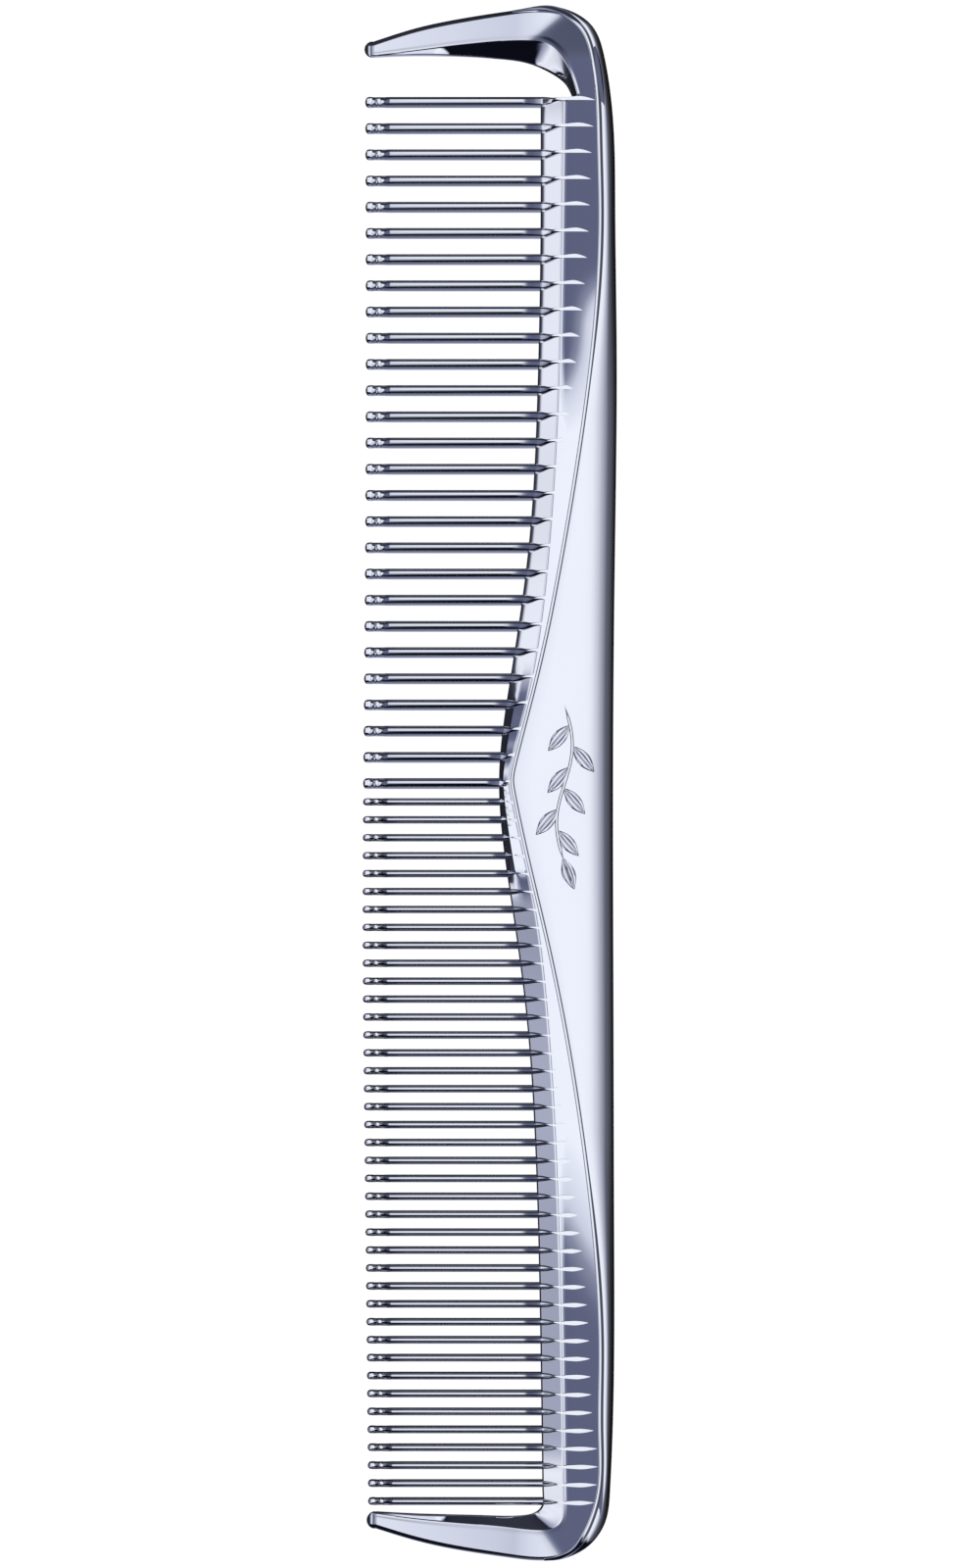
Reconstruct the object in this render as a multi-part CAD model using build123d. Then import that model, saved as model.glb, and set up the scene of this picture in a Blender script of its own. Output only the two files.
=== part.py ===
"""Styling comb with a coarse and a fine half, moulded in one piece and chrome plated.

The comb lies flat. X runs along its length with the coarse half at -X, Y runs across it with the
teeth pointing to -Y, and Z is up. The origin is under the middle of the comb, on the plane that it
rests on. The moulding is divided where its own edges divide it: the recessed web, the raised panel
on each face, the guard at each end, the two rows of teeth and the ornament on the front.
"""

from build123d import *

import os
from math import cos, pi, sin, sqrt

# Overall sizes
THICKNESS = 4.2  # over the two raised panels
WEB_THICKNESS = 2.7
TOE_THICKNESS = 1.1  # the thin edge of the web, between the teeth
BACK_ROUND = 1.9  # radius of the rounded back edge
MIDDLE = THICKNESS / 2
WEB_TOP = WEB_THICKNESS / 2  # above and below the middle plane
TOE_TOP = TOE_THICKNESS / 2

# Teeth: number, first centre, pitch, widths across X and thicknesses across Z
COARSE = dict(count=27, first=-78.05, pitch=3.0, width=1.25, root=3.3, tip=1.5)
FINE = dict(count=40, first=2.05, pitch=2.053, width=0.86, root=3.2, tip=1.25)
TIP_LENGTH = 0.75  # the rounded end of a tooth
RIDGE_RISE = 1.5  # from the web's thin edge to where a tooth is thickest
RIDGE_GAP = 1.4  # most distance between the end of a tooth's ridge and the panel
RIDGE_GAP_SPAN = 76  # half length over which that distance opens and closes again
# A tooth's shares of its full width, and of its thickness, as it runs up onto the web
SHANK_WIDTH = 0.98
ROOT_WIDTH = 0.95
RIDGE_WIDTH = 0.3
TOE_SHARE = 0.96
RIDGE_SHARE = 0.98

# Outlines in plan, from the coarse end to the fine end
OUTER_EDGE = [
    (-84.9, -14.6), (-86.5, -8.6), (-88.1, -0.5), (-88.95, 6.4), (-88.1, 10.1), (-85.2, 12.6),
    (-79.0, 13.8), (-66.0, 14.35), (-50.0, 14.52), (0.0, 14.1), (50.0, 14.22), (66.0, 14.22),
    (78.0, 13.95), (84.5, 13.2), (88.0, 10.6), (88.95, 6.4), (88.1, -0.5), (86.6, -8.6), (85.1, -14.6),
]
COARSE_GUARD_INSIDE = [(-83.15, -16.0), (-83.4, -8.0), (-83.2, -1.4), (-82.2, 5.0), (-80.2, 8.6), (-78.4, 9.4)]
TOE_LINE = [
    (-78.05, 5.8), (-60.0, 5.75), (-44.0, 5.4), (-28.0, 4.5), (-12.0, 2.3), (-0.5, 1.03), (6.0, 1.4),
    (14.0, 2.5), (26.0, 4.1), (42.0, 5.2), (60.0, 5.7), (81.1, 6.0),
]
TIP_LINE = [(-80.0, -14.3), (-30.0, -14.3), (-5.0, -14.5), (18.0, -14.6), (45.0, -14.35), (84.0, -13.95)]
FINE_GUARD_INSIDE = [(81.1, 6.0), (82.6, 5.6), (83.6, 4.2), (83.75, 0.0), (83.6, -7.0), (83.3, -16.0)]
# The crest of the bevel that runs round the inside, matched point for point with the outlines above
COARSE_CREASE = [(-83.3, -16.0), (-84.05, -8.0), (-84.85, -1.4), (-85.25, 5.2), (-81.9, 9.3), (-78.75, 10.1)]
CREASE_LINE = [
    (-78.05, 8.4), (-60.0, 8.2), (-44.0, 7.85), (-28.0, 6.9), (-12.0, 4.9), (-0.5, 2.35), (6.0, 3.6),
    (14.0, 5.2), (26.0, 6.6), (42.0, 7.6), (60.0, 8.15), (81.1, 8.5),
]
FINE_CREASE = [(81.1, 8.5), (83.8, 7.9), (85.3, 6.0), (85.0, 0.3), (84.2, -7.0), (83.45, -16.0)]
# The inner edge of the raised panels, with its apex near the middle of the comb
COARSE_PANEL_LINE = [
    (-92.0, 1.5), (-88.3, 6.4), (-86.3, 10.1), (-83.0, 11.4), (-73.0, 12.25), (-65.0, 12.4),
    (-54.0, 11.9), (-40.0, 10.25), (-24.0, 7.6), (-10.0, 4.7), (-0.5, 2.3),
]
FINE_PANEL_LINE = [
    (-0.5, 2.3), (10.0, 4.55), (24.0, 7.6), (40.0, 10.3), (54.0, 11.9), (65.0, 12.42),
    (74.0, 12.35), (83.5, 11.4), (87.0, 9.4), (88.4, 6.4), (92.0, 1.5),
]

# End guards
SPLIT_COARSE = -79.5  # where the coarse guard meets the web
SPLIT_FINE = 83.0
NOSES = {"coarse": (-84.1, -13.3, 0.95), "fine": (84.3, -13.0, 1.0)}  # centre and radius
NOSE_THICKNESS = 1.9
THINNING_START = 2.0  # across the comb, where a guard begins to get thinner towards its nose

# Ornament: a stem with leaves, standing a little proud of the front panel
ORNAMENT_HEIGHT = 0.15
STEM_WIDTH = 0.45
STEM_LENGTH = 18.0
STEM_MIDDLE = (0.0, 8.5)
STEM_WAVE = 0.9
LEAF_LENGTH = 3.9
LEAF_WIDTH = 1.6
LEAVES = 6
LEAF_HEADING = 40  # degrees off the stem

FAR = 100  # beyond the comb on every side
NEAR = 25  # beyond one guard on every side


def plan_face(*edges):
    """The flat face inside a closed run of edges."""
    return make_face(Curve() + list(edges))


def slab(low, high):
    """Everything between two heights above the middle plane."""
    box = Box(2 * FAR, 2 * FAR, high - low)
    return Pos(0, 0, MIDDLE + (low + high) / 2) * box


def beside(x_low, x_high):
    """Everything between two places along the comb."""
    return Pos((x_low + x_high) / 2, 0, 0) * Box(x_high - x_low, 2 * FAR, 2 * FAR)


def envelope():
    """The outer form of the whole comb, with its rounded back and guards."""
    outer = Spline(*OUTER_EDGE)
    block = extrude(plan_face(outer, Line(OUTER_EDGE[-1], OUTER_EDGE[0])), THICKNESS)
    rims = [e for e in block.edges() if e.geom_type != GeomType.LINE]
    return fillet(rims, BACK_ROUND)


def inside_edges(guard_a, toe, guard_b, height):
    """The closed run of edges round the teeth, at one height."""
    y_far = guard_a[0][1] - 4
    corners = [guard_b[-1], (guard_b[-1][0], y_far), (guard_a[0][0], y_far), guard_a[0]]
    run = [Spline(*guard_a), Line(guard_a[-1], toe[0]), Spline(*toe), Spline(*guard_b), Polyline(*corners)]
    return Pos(0, 0, height) * plan_face(*run)


def tooth_space():
    """The space that the teeth stand in, straight through at its narrowest and opening out above and below."""
    edge = (COARSE_GUARD_INSIDE, TOE_LINE, FINE_GUARD_INSIDE)
    crest = (COARSE_CREASE, CREASE_LINE, FINE_CREASE)
    through = extrude(inside_edges(*edge, 0), THICKNESS)
    upper = loft([inside_edges(*edge, MIDDLE + TOE_TOP), inside_edges(*crest, MIDDLE + WEB_TOP)], ruled=True)
    return through, upper, upside_down(upper)


def upside_down(shape):
    """The same shape below the middle plane."""
    return mirror(shape, about=Plane.XY.offset(MIDDLE))


def frame_plate(body, space):
    """The recessed plate: the web with both guards, at the web's thickness."""
    plate = body & slab(-WEB_TOP, WEB_TOP)
    for gap in space:
        plate -= gap
    return plate


def nose_form(x, y, radius):
    """Everything that a guard may fill: round in plan at its nose, and thinner towards it."""
    plan = Pos(x, y) * Circle(radius) + Pos(x, y + FAR / 2) * Rectangle(NEAR, FAR)
    half = NOSE_THICKNESS / 2
    tip = y - radius + half
    upper = Polyline((NEAR, WEB_TOP), (THINNING_START, WEB_TOP), (tip, half))
    nose = ThreePointArc((tip, half), (tip - half, 0), (tip, -half))
    lower = Polyline((tip, -half), (THINNING_START, -WEB_TOP), (NEAR, -WEB_TOP), (NEAR, WEB_TOP))
    side = Plane(origin=(x, 0, MIDDLE), x_dir=(0, 1, 0), z_dir=(1, 0, 0)) * plan_face(upper, nose, lower)
    return extrude(plan, THICKNESS) & extrude(side, NEAR, both=True)


def panel(body, below):
    """A raised panel on one face of the comb."""
    coarse, fine = Spline(*COARSE_PANEL_LINE), Spline(*FINE_PANEL_LINE)
    start, end = COARSE_PANEL_LINE[0], FINE_PANEL_LINE[-1]
    back = Polyline(end, (end[0], FAR / 2), (start[0], FAR / 2), start)
    region = extrude(plan_face(coarse, fine, back), THICKNESS)
    raised = body & region & slab(WEB_TOP, MIDDLE)
    return upside_down(raised) if below else raised


def across_at(curve, x):
    """How far across the comb a curve is, at a place along it."""
    low, high = 0.0, 1.0
    for _ in range(40):
        half = (low + high) / 2
        if (curve @ half).X < x:
            low = half
        else:
            high = half
    return (curve @ low).Y


def ring(x, y, width, thickness):
    """A tooth's oval section, square to its length."""
    return Plane(origin=(x, y, MIDDLE), x_dir=(1, 0, 0), z_dir=(0, 1, 0)) * Ellipse(width / 2, thickness / 2)


def tooth(x, end, toe, ridge_end, size):
    """One tooth, from its rounded tip to the sharp end of the ridge that it leaves on the web."""
    width, root, tip = size["width"], size["root"], size["tip"]
    thick_at = min(toe + RIDGE_RISE * 2, (toe + ridge_end * 3) / 4)
    sections = [Vertex(x, end, MIDDLE)]
    for turn in (0.3, 0.6, 1.0):
        along = TIP_LENGTH * (1 - cos(turn * pi / 2))
        sections.append(ring(x, end + along, width * sin(turn * pi / 2), tip * sin(turn * pi / 2)))
    sections += [
        ring(x, (end + TIP_LENGTH + toe) / 2, width * SHANK_WIDTH, (tip + root) / 2),
        ring(x, toe, width, root * TOE_SHARE),
        ring(x, thick_at, width * ROOT_WIDTH, root),
        ring(x, ridge_end, width * RIDGE_WIDTH, WEB_THICKNESS * RIDGE_SHARE),
    ]
    return loft(sections, ruled=True)


def tooth_row(size, plate):
    """One row of teeth, each cut back where it meets the web."""
    tip_line, toe_line = Spline(*TIP_LINE), Spline(*TOE_LINE)
    coarse_line, fine_line = Spline(*COARSE_PANEL_LINE), Spline(*FINE_PANEL_LINE)
    apex = COARSE_PANEL_LINE[-1][0]
    teeth = []
    for i in range(size["count"]):
        x = size["first"] + i * size["pitch"]
        toe = across_at(toe_line, min(x, TOE_LINE[-1][0]))
        gap = RIDGE_GAP * sqrt(max(0.0, sin(pi * min(abs(x) / RIDGE_GAP_SPAN, 1))))
        ridge_end = across_at(coarse_line if x < apex else fine_line, x) - gap
        teeth.append(tooth(x, across_at(tip_line, x), toe, ridge_end, size) - plate)
    return teeth


def leaf(x, y, heading):
    """A pointed leaf that grows from the stem."""
    half = LEAF_WIDTH / 2
    rim = ThreePointArc((0, 0), (LEAF_LENGTH / 2, half), (LEAF_LENGTH, 0))
    other = ThreePointArc((LEAF_LENGTH, 0), (LEAF_LENGTH / 2, -half), (0, 0))
    return Pos(x, y) * Rot(0, 0, heading) * plan_face(rim, other)


def ornament():
    """A sprig lying on the front panel: a waved stem with leaves to both sides."""
    x_mid, y_mid = STEM_MIDDLE
    start = x_mid - STEM_LENGTH / 2
    steps = 2 * LEAVES

    def on_stem(step):
        return (start + STEM_LENGTH * step / steps, y_mid + STEM_WAVE * sin(step * pi / LEAVES))

    drawing = trace(Spline(*[on_stem(i) for i in range(steps + 1)]), STEM_WIDTH)
    for i in range(LEAVES):
        side = 1 if i % 2 else -1
        drawing += leaf(*on_stem(1.6 * i + 1.5), side * LEAF_HEADING)
    drawing += leaf(*on_stem(steps - 0.4), 20)
    return extrude(Pos(0, 0, THICKNESS) * drawing, ORNAMENT_HEIGHT)


def save(name, *solids):
    """Writes one named piece of the comb."""
    pieces = [p for s in solids for p in s.solids()]
    export_step(Compound(children=pieces, label=name) if len(pieces) > 1 else pieces[0], f"parts/{name}.step")
    volume = sum(p.volume for p in pieces)
    print(f"{name}: {len(pieces)} solids, {volume:.1f} mm3")
    return volume


def main():
    os.makedirs("parts", exist_ok=True)
    body = envelope()
    space = tooth_space()
    plate = frame_plate(body, space)

    total = save("spine_web", plate & beside(SPLIT_COARSE, SPLIT_FINE))
    total += save("coarse_end_guard", plate & beside(-FAR, SPLIT_COARSE) & nose_form(*NOSES["coarse"]))
    total += save("fine_end_guard", plate & beside(SPLIT_FINE, FAR) & nose_form(*NOSES["fine"]))
    total += save("front_panel", panel(body, below=False))
    total += save("back_panel", panel(body, below=True))
    total += save("coarse_teeth", *tooth_row(COARSE, plate))
    total += save("fine_teeth", *tooth_row(FINE, plate))
    total += save("front_ornament", ornament())
    print(f"whole comb: {total:.0f} mm3")


main()
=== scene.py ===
# %% [markdown]
# # A chrome-plated styling comb
# The real comb is one moulding of hard plastic under a mirror plating. It has a coarse half and a
# fine half of teeth, a guard at each end, a recessed web and a raised panel along its back.
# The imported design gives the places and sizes. Here each region gets the smooth, finished surface
# that a mirror finish needs, because chrome shows every flat spot and every kink.

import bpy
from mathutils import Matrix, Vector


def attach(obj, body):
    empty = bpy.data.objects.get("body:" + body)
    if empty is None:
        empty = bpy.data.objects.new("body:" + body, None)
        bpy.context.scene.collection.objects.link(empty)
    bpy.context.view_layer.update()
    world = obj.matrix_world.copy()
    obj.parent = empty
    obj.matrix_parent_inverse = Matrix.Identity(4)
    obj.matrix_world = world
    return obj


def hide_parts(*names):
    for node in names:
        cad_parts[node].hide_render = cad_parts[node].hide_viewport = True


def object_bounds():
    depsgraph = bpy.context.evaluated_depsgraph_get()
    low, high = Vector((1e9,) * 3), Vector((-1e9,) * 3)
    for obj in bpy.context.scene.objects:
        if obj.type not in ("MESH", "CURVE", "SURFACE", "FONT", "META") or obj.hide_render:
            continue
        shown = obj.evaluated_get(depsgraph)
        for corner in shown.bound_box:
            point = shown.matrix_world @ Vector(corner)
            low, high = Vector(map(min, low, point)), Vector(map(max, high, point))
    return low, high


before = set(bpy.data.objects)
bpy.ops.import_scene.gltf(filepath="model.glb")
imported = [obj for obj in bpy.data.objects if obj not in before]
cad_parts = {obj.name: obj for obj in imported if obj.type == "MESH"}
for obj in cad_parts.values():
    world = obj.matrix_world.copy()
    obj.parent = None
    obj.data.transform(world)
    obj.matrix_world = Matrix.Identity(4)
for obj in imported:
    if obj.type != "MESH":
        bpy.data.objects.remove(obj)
cad_low, cad_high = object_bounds()
print("CAD box:", [round(v, 5) for v in (*cad_low, *cad_high)])

# %% [markdown]
# ## Measures
# The comb lies on its back panel. It is drawn in mm from its middle plane, x along the comb with
# the coarse half first, and y across it with the teeth first. The lower half mirrors the upper.

# %% Tools for the bench
from math import cos, pi, radians, sin, sqrt

import bpy
import numpy as np
from mathutils import Vector

MM = 0.001
PANEL_TOP = 2.1  # mm above the middle plane
OWN_MIDDLE = Vector((-0.002, -0.04)) * MM  # middle of the box round the plan that is drawn here
SHIFT_X = (cad_low.x + cad_high.x) / 2 - OWN_MIDDLE.x
SHIFT_Y = (cad_low.y + cad_high.y) / 2 - OWN_MIDDLE.y
MIDDLE_Z = cad_low.z + PANEL_TOP * MM


def metres(x, y, z):
    """A point of the design, in mm from the middle plane, as a place in the frame."""
    return (SHIFT_X + x * MM, SHIFT_Y + y * MM, MIDDLE_Z + z * MM)


def clean_slate():
    """Nothing selected and no object in edit mode, so that an operator touches only its piece."""
    if bpy.context.object and bpy.context.object.mode != "OBJECT":
        bpy.ops.object.mode_set(mode="OBJECT")
    bpy.ops.object.select_all(action="DESELECT")


clean_slate()
print("plan shifted by", [round(v / MM, 4) for v in (SHIFT_X, SHIFT_Y)], "mm")

# %% [markdown]
# ## Camera
# The comb is seen square-on from above, with its coarse end up. A long lens far away keeps the
# sides of the teeth out of sight, so that only their tops and edges show.

# %% Camera
VISIBLE_LENGTH = 0.1796  # metres of the comb's plane along the long side of the picture
LENS = 150.0
SENSOR = 36.0

eye = bpy.data.cameras.new("camera")
eye.lens = LENS
eye.sensor_width = SENSOR
eye.sensor_fit = "AUTO"
eye.clip_start = 0.01
camera = bpy.data.objects.new("camera", eye)
camera.location = (0.0, 0.0, MIDDLE_Z + VISIBLE_LENGTH * LENS / SENSOR)
camera.rotation_euler = (0.0, 0.0, pi / 2)
bpy.context.scene.collection.objects.link(camera)
bpy.context.scene.camera = camera
bpy.context.scene.view_settings.view_transform = "Standard"
print("camera height:", round(camera.location.z, 4))

# %% [markdown]
# ## Node helpers
# Shader maths reads best as ordinary sums. A small class wraps a socket, so that `a * b + 0.2` adds
# its own Math nodes. Every other node comes from one method.


# %% Shader sums
class Val:
    """A socket that takes part in Python sums."""

    def __init__(self, tree, socket):
        self.tree, self.socket = tree, socket

    def _math(self, operation, *values):
        node = self.tree.nodes.new("ShaderNodeMath")
        node.operation = operation
        for slot, value in zip(node.inputs, values):
            if isinstance(value, Val):
                self.tree.links.new(value.socket, slot)
            else:
                slot.default_value = value
        return Val(self.tree, node.outputs[0])

    def __add__(self, other):
        return self._math("ADD", self, other)

    def __sub__(self, other):
        return self._math("SUBTRACT", self, other)

    def __mul__(self, other):
        return self._math("MULTIPLY", self, other)

    def __rsub__(self, other):
        return self._math("SUBTRACT", other, self)

    __radd__ = __add__
    __rmul__ = __mul__

    def size(self):
        return self._math("ABSOLUTE", self)

    def step(self, low, high):
        """0 below low, 1 above high, smooth between."""
        return add_node(
            self.tree, "ShaderNodeMapRange",
            {"interpolation_type": "SMOOTHSTEP"},
            {"Value": self, "From Min": low, "From Max": high, "To Min": 0.0, "To Max": 1.0},
        )


def add_node(tree, kind, settings=None, values=None, out=0):
    """A node with its settings made first and its sockets then linked or set."""
    node = tree.nodes.new(kind)
    for name, value in (settings or {}).items():
        if name == "stops":
            ramp = node.color_ramp
            while len(ramp.elements) < len(value):
                ramp.elements.new(0.5)
            for element, (place, colour) in zip(ramp.elements, value):
                element.position, element.color = place, (*colour, 1.0)
        else:
            setattr(node, name, value)
    for name, value in (values or {}).items():
        if isinstance(value, Val):
            tree.links.new(value.socket, node.inputs[name])
        else:
            node.inputs[name].default_value = value
    return Val(tree, node.outputs[out])


def srgb(*levels):
    """A colour given in screen levels of 0 to 255, as the linear colour that a shader takes."""
    return tuple(((v / 255 + 0.055) / 1.055) ** 2.4 if v > 10 else v / 255 / 12.92 for v in levels)


print("a mid grey is", round(srgb(128)[0], 3), "in linear light")

# %% [markdown]
# ## The studio that the chrome mirrors
# A mirror has no colour of its own: its look is the room. The room is a white tent with dark flags,
# as for silverware. It is written by the tilt that a face of the comb needs to mirror each part of
# it upwards. Faces that lie flat mirror the white top. A face leaning towards the teeth mirrors
# first a slate flag, then a light panel and then darkness. A face leaning to the back edge fades
# slowly to black. Faces leaning along the comb mirror the dark side flags.

# %% Colours of the room, each by the tilt that mirrors it
ACROSS = [  # towards the teeth is negative, towards the back edge positive
    (-1.00, (26, 26, 30)), (-0.62, (38, 40, 50)), (-0.47, (70, 74, 92)),
    (-0.40, (205, 208, 222)), (-0.33, (236, 239, 250)), (-0.27, (180, 184, 205)),
    (-0.17, (104, 109, 136)), (-0.10, (90, 94, 121)), (-0.065, (96, 101, 130)),
    (-0.045, (140, 145, 168)), (-0.030, (206, 210, 228)), (-0.008, (228, 232, 246)),
    (0.0, (240, 244, 255)), (0.10, (234, 238, 250)), (0.16, (222, 226, 239)),
    (0.29, (176, 179, 196)), (0.45, (96, 99, 114)), (0.68, (48, 49, 54)),
    (0.86, (22, 20, 20)), (1.0, (12, 11, 12)),
]
ALONG = [  # towards the coarse end is negative, towards the fine end positive
    (-1.00, (36, 37, 44)), (-0.93, (28, 29, 36)), (-0.80, (34, 35, 44)), (-0.60, (50, 52, 64)),
    (-0.42, (48, 50, 62)), (-0.18, (26, 29, 40)), (-0.09, (110, 114, 130)),
    (-0.045, (250, 252, 255)), (0.035, (250, 250, 250)), (0.08, (60, 62, 76)),
    (0.14, (10, 11, 20)), (0.80, (14, 16, 26)), (0.91, (104, 108, 134)), (1.0, (178, 183, 206)),
]
SIDE_LEAD = 0.9  # a face counts as leaning along the comb where that lean leads over this share
SIDE_FADE = (0.03, 0.13)


def stops_of(table):
    """Ramp stops, with a tilt of -1 to 1 brought to the ramp's 0 to 1."""
    return [((place + 1) / 2, srgb(*colour)) for place, colour in table]


print("room colours:", len(ACROSS), "across and", len(ALONG), "along")

# %% Studio surroundings
world = bpy.data.worlds.new("studio")
bpy.context.scene.world = world
world.use_nodes = True
sky = world.node_tree
sky.nodes.clear()

# Halfway between a heading and straight up is the tilt of the face that mirrors it upwards.
STRAIGHT_UP = (0.0, 0.0, 1.0001)  # a hair over 1, so that straight down keeps a tilt
heading = add_node(sky, "ShaderNodeTexCoord", out="Generated")
lifted = add_node(
    sky, "ShaderNodeVectorMath", {"operation": "ADD"}, {0: heading, 1: STRAIGHT_UP}
)
tilt = add_node(sky, "ShaderNodeVectorMath", {"operation": "NORMALIZE"}, {0: lifted})
tilt_x, tilt_y = (
    add_node(sky, "ShaderNodeSeparateXYZ", None, {0: tilt}, out=axis) for axis in ("X", "Y")
)
across, along = (
    add_node(
        sky, "ShaderNodeValToRGB", {"stops": stops_of(table)}, {"Fac": (lean + 1.0) * 0.5}
    )
    for table, lean in ((ACROSS, tilt_y), (ALONG, tilt_x))
)
side_share = (tilt_x.size() - SIDE_LEAD * tilt_y.size()).step(*SIDE_FADE)
room = add_node(
    sky, "ShaderNodeMix", {"data_type": "RGBA"},
    {"Factor": side_share, "A": across, "B": along}, out="Result",
)
print("studio:", len(sky.nodes), "nodes")

# %% [markdown]
# ## Backdrop, floor and lamp
# The camera itself sees a plain pale backdrop. The floor is pale paper, and one broad lamp hangs
# overhead. The chrome mirrors neither of them, because the room already holds its reflections.

# %% Show a plain backdrop to the camera
BACKDROP = srgb(254, 254, 255)

seen = add_node(sky, "ShaderNodeLightPath", out="Is Camera Ray")
shown = add_node(
    sky, "ShaderNodeMix", {"data_type": "RGBA"},
    {"Factor": seen, "A": room, "B": (*BACKDROP, 1.0)}, out="Result",
)
glow = add_node(sky, "ShaderNodeBackground", None, {"Color": shown})
sky_out = sky.nodes.new("ShaderNodeOutputWorld")
sky.links.new(glow.socket, sky_out.inputs["Surface"])
print("backdrop:", [round(v, 3) for v in BACKDROP])

# %% Floor
FLOOR_SIZE = 3.0
FLOOR_GAP = 0.0002  # metres below the comb
PAPER_COLOUR = (0.20, 0.20, 0.21, 1.0)
PAPER_GLOW = 0.97

bpy.ops.mesh.primitive_plane_add(size=FLOOR_SIZE, location=(0, 0, cad_low.z - FLOOR_GAP))
floor = bpy.context.object
floor.name = "studio_floor"
floor.visible_glossy = False

paper = bpy.data.materials.new("pale_paper")
paper.use_nodes = True
sheet = paper.node_tree.nodes["Principled BSDF"]
sheet.inputs["Base Color"].default_value = PAPER_COLOUR
sheet.inputs["Roughness"].default_value = 0.9
sheet.inputs["Specular IOR Level"].default_value = 0.0
sheet.inputs["Emission Color"].default_value = (1.0, 1.0, 1.0, 1.0)
sheet.inputs["Emission Strength"].default_value = PAPER_GLOW
floor.data.materials.append(paper)
print("floor at", round(floor.location.z, 5))

# %% Lamp
LAMP_SIZE, LAMP_HEIGHT, LAMP_WATTS = 1.2, 1.0, 3.0

lamp = bpy.data.lights.new("overhead", "AREA")
lamp.shape = "DISK"
lamp.size = LAMP_SIZE
lamp.energy = LAMP_WATTS
overhead = bpy.data.objects.new("overhead", lamp)
overhead.location = (0.0, 0.0, LAMP_HEIGHT)
overhead.visible_glossy = False
overhead.visible_camera = False
bpy.context.scene.collection.objects.link(overhead)
print("lamp:", LAMP_WATTS, "W")

# %% [markdown]
# ## The plating
# Chrome over plastic is a true metal with a faint blue. It is almost a perfect mirror, but the
# moulding below is never quite flat, so the plating carries a very faint ripple, and handling
# leaves hazy patches that are a little less sharp than the rest.

# %% Chrome material
CHROME_COLOUR = (0.97, 0.975, 0.985)
RIPPLE_SIZE = 240.0  # waves per metre
RIPPLE_HEIGHT = 0.00002
HAZE_SIZE = 90.0
HAZE_FROM, HAZE_TO = 0.4, 0.75  # the part of the noise over which a patch grows hazy
HAZE_DIM = 0.985


def plating(name, colour, rough_low, rough_high, ripple):
    """Mirror plating with a faint ripple and hazy patches."""
    made = bpy.data.materials.new(name)
    made.use_nodes = True
    tree = made.node_tree
    body = tree.nodes["Principled BSDF"]
    place = add_node(tree, "ShaderNodeTexCoord", out="Object")
    haze = add_node(
        tree, "ShaderNodeTexNoise", None, {"Vector": place, "Scale": HAZE_SIZE, "Detail": 3.0}
    )
    wave = add_node(
        tree, "ShaderNodeTexNoise", None, {"Vector": place, "Scale": RIPPLE_SIZE, "Detail": 1.0}
    )
    rough = haze.step(HAZE_FROM, HAZE_TO) * (rough_high - rough_low) + rough_low
    dimmed = [c * HAZE_DIM for c in colour]
    tint = add_node(
        tree, "ShaderNodeMix", {"data_type": "RGBA"},
        {"Factor": haze, "A": (*colour, 1.0), "B": (*dimmed, 1.0)}, out="Result",
    )
    bump = add_node(
        tree, "ShaderNodeBump", None,
        {"Strength": ripple, "Distance": RIPPLE_HEIGHT, "Height": wave}, out="Normal",
    )
    body.inputs["Metallic"].default_value = 1.0
    tree.links.new(tint.socket, body.inputs["Base Color"])
    tree.links.new(rough.socket, body.inputs["Roughness"])
    tree.links.new(bump.socket, body.inputs["Normal"])
    return made


CHROME = plating("chrome_plating", CHROME_COLOUR, 0.02, 0.06, 0.05)
TOOTH_CHROME = plating("tooth_chrome", CHROME_COLOUR, 0.015, 0.04, 0.01)
print("plating ready:", CHROME.name, "and", TOOTH_CHROME.name)

# %% [markdown]
# ## Smooth curves
# The plan of the comb is a few flowing lines. A cubic spline through a handful of points bends
# without kinks, and a mirror shows any kink, so every rail below is such a spline.


# %% Splines
def spline(knots, values):
    """A curve without kinks through the values, as a function of the knot."""
    k, v = np.array(knots, float), np.array(values, float)
    h, last = np.diff(k), len(k) - 1
    grid, right = np.eye(last + 1), np.zeros_like(v)
    for i in range(1, last):
        grid[i, i - 1:i + 2] = h[i - 1], 2 * (h[i - 1] + h[i]), h[i]
        right[i] = 6 * ((v[i + 1] - v[i]) / h[i] - (v[i] - v[i - 1]) / h[i - 1])
    bend = np.linalg.solve(grid, right)

    def at(u):
        i = int(np.clip(np.searchsorted(k, u) - 1, 0, last - 1))
        a, b = k[i + 1] - u, u - k[i]
        curved = (bend[i] * a**3 + bend[i + 1] * b**3) / (6 * h[i])
        from_a = (v[i] / h[i] - bend[i] * h[i] / 6) * a
        from_b = (v[i + 1] / h[i] - bend[i + 1] * h[i] / 6) * b
        return curved + from_a + from_b

    return at


def spline_of(points):
    """The same through a list of (knot, value) pairs."""
    return spline([p[0] for p in points], [p[1] for p in points])


def smooth(value, low, high):
    """0 below low, 1 above high, smooth between."""
    t = min(max((value - low) / (high - low), 0.0), 1.0)
    return t * t * (3 - 2 * t)


def ramp_up(value, low, width):
    """The height gained by a slope that grows smoothly from 0 to 1 over a width."""
    t = min(max((value - low) / width, 0.0), 1.0)
    return width * (t**3 - t**4 / 2) + max(value - low - width, 0.0)


print("smooth step at a quarter:", smooth(0.25, 0, 1))

# %% [markdown]
# ## The plan of the comb
# Each rib is a cut across the body. It gives four places: the inner edge round the teeth, the crest
# of the bevel, the foot of the raised rim and the outer edge. The guards have a table of ribs. Over
# the web the four places are simple functions of the place along the comb.

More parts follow.
